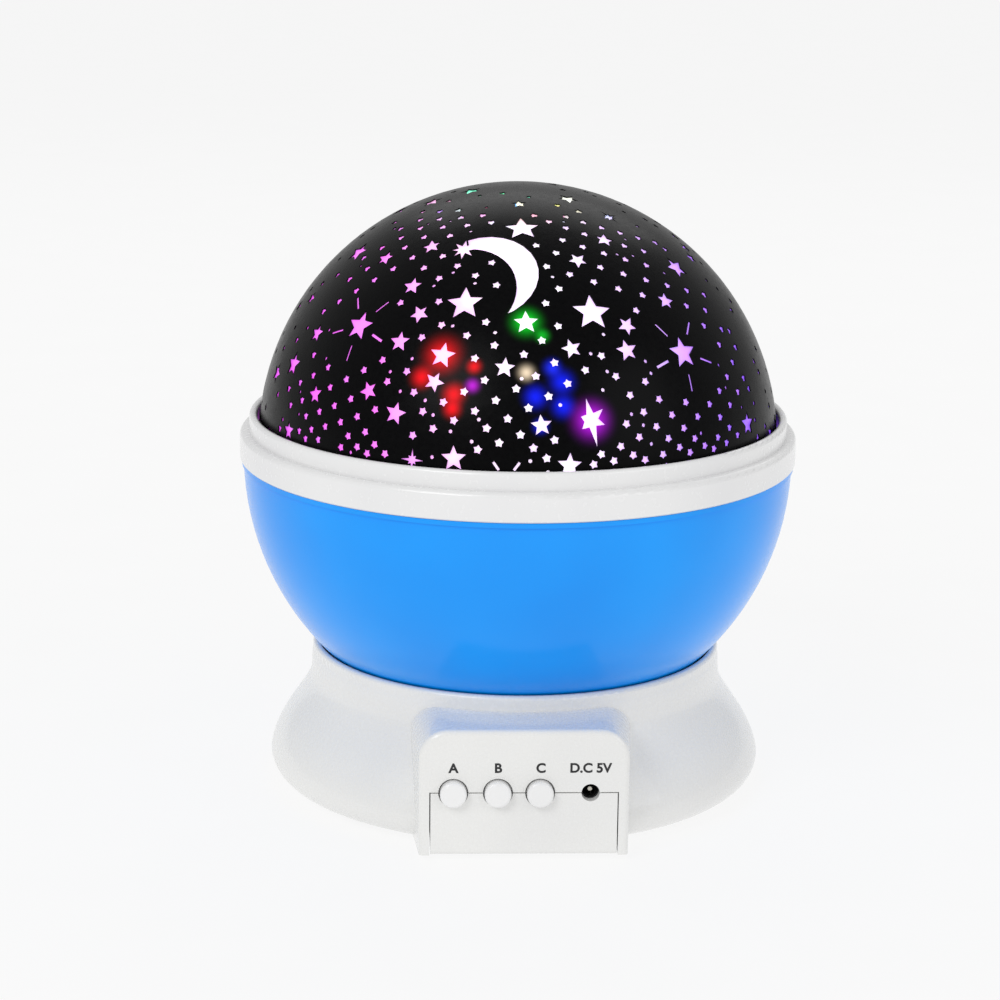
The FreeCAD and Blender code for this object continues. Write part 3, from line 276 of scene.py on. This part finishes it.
# Bowl.
# One deep glossy moulding in sky blue ABS that turns with the dome.
# The blue is slightly lighter where the wall is seen at a glancing angle.
blue_abs = polished_plastic("blue_abs_gloss", "009CFF", "0092F6", 0.2, 16.0, 0.02)
tree = blue_abs.node_tree
shader = [n for n in tree.nodes if n.type == "BSDF_PRINCIPLED"][0]
shader.inputs["Coat Weight"].default_value = 0.08
shader.inputs["Specular IOR Level"].default_value = 0.3
dress(blue_abs, "bowl")

# Collar.
# The stepped white ring has the same polish as the base, a shade brighter.
# Its seat is clean and sharp because a cover slides over it.
collar_white = polished_plastic("collar_white_gloss", "EAEAEA", "E4E4E5", 0.24, 12.0, 0.012)
dress(collar_white, "collar")

# Star dome and its black skin.
# The dome is milky plastic lit from inside; the skin is glossy black film with cut windows.
# Coloured lamps show as hot spots through the windows nearest to them, with a soft glow around. This lamp light is
# painted: the dome's colour and emission and the skin's emission are set by position, not cast by the lamps
# inside.
DOME_Z = 81.3 * MM
DOME_R = 60.5 * MM


def on_dome(azimuth, elevation):
    a = math.radians(azimuth - 90.0)
    e = math.radians(elevation)
    return Vector((DOME_R * math.cos(e) * math.cos(a), DOME_R * math.cos(e) * math.sin(a),
                   DOME_Z + DOME_R * math.sin(e)))


# Painted glow spots, one row each: colour, azimuth and elevation on the dome in degrees, and reach in mm. Each
# stands in for a lamp's light through the film and is painted into the dome's and the skin's emission.
GLOWS = (
    ("FF0A18", -21, 30, 6.8), ("FF0818", -25, 25, 4.2), ("FF0818", -17, 22, 4.2), ("FF0818", -17, 19, 3.4),
    ("1222FF", 1, 22, 4.4), ("1222FF", 7, 25, 4.6), ("1222FF", 7, 20, 4.4), ("2030FF", 5, 28, 3.4),
    ("12E830", -1, 38, 5.4), ("FFE8C8", -1, 27, 3.2), ("D01CFF", 13, 17, 6.8), ("1828FF", 2, 16, 2.8),
    ("10B828", 3, 35, 2.8), ("FF0818", -13, 28, 2.8), ("C818E0", -13, 24, 2.8))


def near(tree, place, azimuth, elevation, reach_mm):
    gap = node(tree, "VectorMath", {0: place}, {1: on_dome(azimuth, elevation)}, operation="DISTANCE")
    return span(tree, gap.outputs["Value"], reach_mm * MM, 0.0, 0.0, 1.0, True)


def add_glows(tree, place, start, strength, power, grow=1.0):
    total = start
    for code, azimuth, elevation, reach in GLOWS:
        fade = node(tree, "Math", {0: near(tree, place, azimuth, elevation, reach * grow)}, {1: power},
                    operation="POWER").outputs[0]
        lit = node(tree, "Math", {0: fade}, {1: strength}, operation="MULTIPLY").outputs[0]
        total = blend_colours(tree, lit, total, colour(code), "ADD")
    return total


# Painted lamp light: the dome's base colour and emission run pink on the left, near white in the centre and violet
# on the right, with violet blotches. Vivid colour patches sit at the crown, and the painted hot spots are added to
# the emission.
milky_painted_light, tree, place, shader = new_material("dome_milky_painted_light")
parts = node(tree, "SeparateXYZ", {"Vector": place})
side = span(tree, parts.outputs["X"], -58.0 * MM, 58.0 * MM)
ramp = node(tree, "ValToRGB", {"Fac": side})
ramp.color_ramp.elements[0].position = 0.0
ramp.color_ramp.elements[0].color = colour("C93AD0")
ramp.color_ramp.elements[1].position = 1.0
ramp.color_ramp.elements[1].color = colour("5A22D8")
for position, code in ((0.22, "EC6EE6"), (0.36, "F9C4F4"), (0.46, "FBEFFC"), (0.56, "F8EEFF"), (0.68, "E6C6FA"),
                       (0.82, "A878F2")):
    stop = ramp.color_ramp.elements.new(position)
    stop.color = colour(code)
mottle = noise(tree, place, 7.0, 3.0)
soft = blend_colours(tree, span(tree, mottle, 0.38, 0.68, 0.0, 0.42), ramp.outputs["Color"], colour("C884EC"))
patches = node(tree, "TexVoronoi", {"Vector": place}, {"Scale": 1.0 / (7.5 * MM)})
vivid = node(tree, "HueSaturation", {"Color": patches.outputs["Color"]}, {"Saturation": 1.9, "Value": 1.1})
crown = span(tree, parts.outputs["Z"], 135.5 * MM, 139.5 * MM, 0.0, 0.75)
crowned = blend_colours(tree, crown, soft, vivid.outputs["Color"])
glowing = add_glows(tree, place, crowned, 0.9, 1.0, 0.7)
tree.links.new(crowned, shader.inputs["Base Color"])
tree.links.new(glowing, shader.inputs["Emission Color"])
bump(tree, shader, mottle, 0.02)
set_inputs(shader, Roughness=0.35, Emission_Strength=0.85)
dress(milky_painted_light, "star_dome")

skin, tree, place, shader = new_material("skin_black_gloss")
fine = noise(tree, place, 1.0, 3.0)
tree.links.new(blend_colours(tree, span(tree, fine, 0.3, 0.8), colour("020203"), colour("060607")),
               shader.inputs["Base Color"])
tree.links.new(span(tree, fine, 0.3, 0.8, 0.24, 0.34), shader.inputs["Roughness"])
# Painted glow: the skin's emission is a soft halo of each lamp's colour around its window, standing in for lamp
# light leaking through the black film.
halo = add_glows(tree, place, colour("000000"), 1.0, 2.6, 1.15)
tree.links.new(halo, shader.inputs["Emission Color"])
bump(tree, shader, noise(tree, place, 5.0, 2.0), 0.008)
set_inputs(shader, Emission_Strength=1.0, Specular_IOR_Level=0.06)
dress(skin, "star_mask")

# Smooth shading.
# The mouldings have no facets, so curved faces are shaded smooth and corners stay crisp.
# The angle keeps every edge sharper than about thirty degrees.
for part in nodes.values():
    bpy.ops.object.select_all(action="DESELECT")
    part.hide_set(False)
    part.select_set(True)
    bpy.context.view_layer.objects.active = part
    bpy.ops.object.shade_smooth_by_angle(angle=math.radians(28.0))

# Floor, light and camera.
# A pale seamless sheet, a bright even surround and three soft boxes.
# The camera is a long lens a little above the collar, as in the photograph.
bpy.ops.mesh.primitive_plane_add(size=6.0, location=(0.0, 0.0, 0.0))
floor = bpy.context.active_object
floor.name = "floor"
paper, tree, place, shader = new_material("backdrop_paper")
tooth = noise(tree, place, 30.0, 2.0)
tree.links.new(blend_colours(tree, span(tree, tooth, 0.3, 0.7), colour("616161"), colour("5F5F5F")),
               shader.inputs["Base Color"])
set_inputs(shader, Roughness=0.9, Specular_IOR_Level=0.0, Emission_Color=colour("FFFFFF"), Emission_Strength=0.845)
floor.data.materials.append(paper)

world = bpy.data.worlds.new("surround")
world.use_nodes = True
world.node_tree.nodes["Background"].inputs["Color"].default_value = colour("FFFFFF")
world.node_tree.nodes["Background"].inputs["Strength"].default_value = 0.62
bpy.context.scene.world = world


def soft_box(name, place, aim, size, power):
    data = bpy.data.lights.new(name, "AREA")
    data.shape = "RECTANGLE"
    data.size = size[0]
    data.size_y = size[1]
    data.energy = power
    made = bpy.data.objects.new(name, data)
    bpy.context.collection.objects.link(made)
    made.location = place
    made.rotation_euler = (Vector(aim) - Vector(place)).to_track_quat("-Z", "Y").to_euler()
    return made


soft_box("key", (-0.55, -0.75, 0.75), (0.0, 0.0, 0.06), (0.5, 0.5), 3.6)
soft_box("fill", (0.75, -0.6, 0.45), (0.0, 0.0, 0.06), (0.6, 0.6), 1.4)
soft_box("back", (0.1, 0.8, 0.8), (0.0, 0.0, 0.08), (0.9, 0.5), 2.0)

AZIMUTH = math.radians(-2.4)
ELEVATION = math.radians(14.31)
DISTANCE = 0.660
lens_data = bpy.data.cameras.new("camera")
lens_data.lens = 100.5
lens_data.sensor_width = 36.0
camera = bpy.data.objects.new("camera", lens_data)
bpy.context.collection.objects.link(camera)
to_camera = Vector((math.sin(AZIMUTH) * math.cos(ELEVATION), -math.cos(AZIMUTH) * math.cos(ELEVATION),
                    math.sin(ELEVATION)))
aim = Vector((-4.0 * MM * math.cos(AZIMUTH), -4.0 * MM * math.sin(AZIMUTH), 66.9 * MM))
camera.location = aim + to_camera * DISTANCE
level = (-to_camera).to_track_quat("-Z", "Y").to_matrix().to_4x4()
roll = Matrix.Rotation(math.radians(0.65), 4, "Z")
camera.rotation_euler = (level @ roll).to_euler()
bpy.context.scene.camera = camera
bpy.context.scene.view_settings.view_transform = "Standard"
